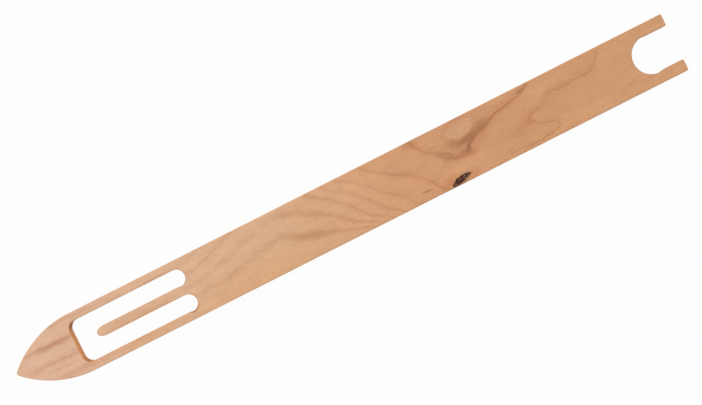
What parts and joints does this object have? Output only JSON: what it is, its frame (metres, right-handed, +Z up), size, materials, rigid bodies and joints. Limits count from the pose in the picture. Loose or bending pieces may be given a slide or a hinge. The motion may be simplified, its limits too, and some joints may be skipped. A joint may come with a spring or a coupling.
{
  "type": "weaving shuttle",
  "caption": "Long flat wooden shuttle with a pointed end, a window holding a tongue that yarn is looped over, and a round-bottomed fork at the other end.",
  "frame": {"origin": "middle of the back face, the one the shuttle lies on", "axes": "+X along the shuttle from its point to its fork, +Y across it, +Z up out of the top face"},
  "size_m": [0.469, 0.04, 0.006],
  "materials": {
    "sanded_alder": "pale pinkish-brown alder, planed, sanded smooth and lightly oiled, with fine dark growth lines",
    "bark_ringed_knot": "near-black dead knot with bark in it, rough and dry"
  },
  "bodies": {
    "root": {"blade": "sanded_alder", "edge_knot": "bark_ringed_knot"}
  },
  "joints": []
}
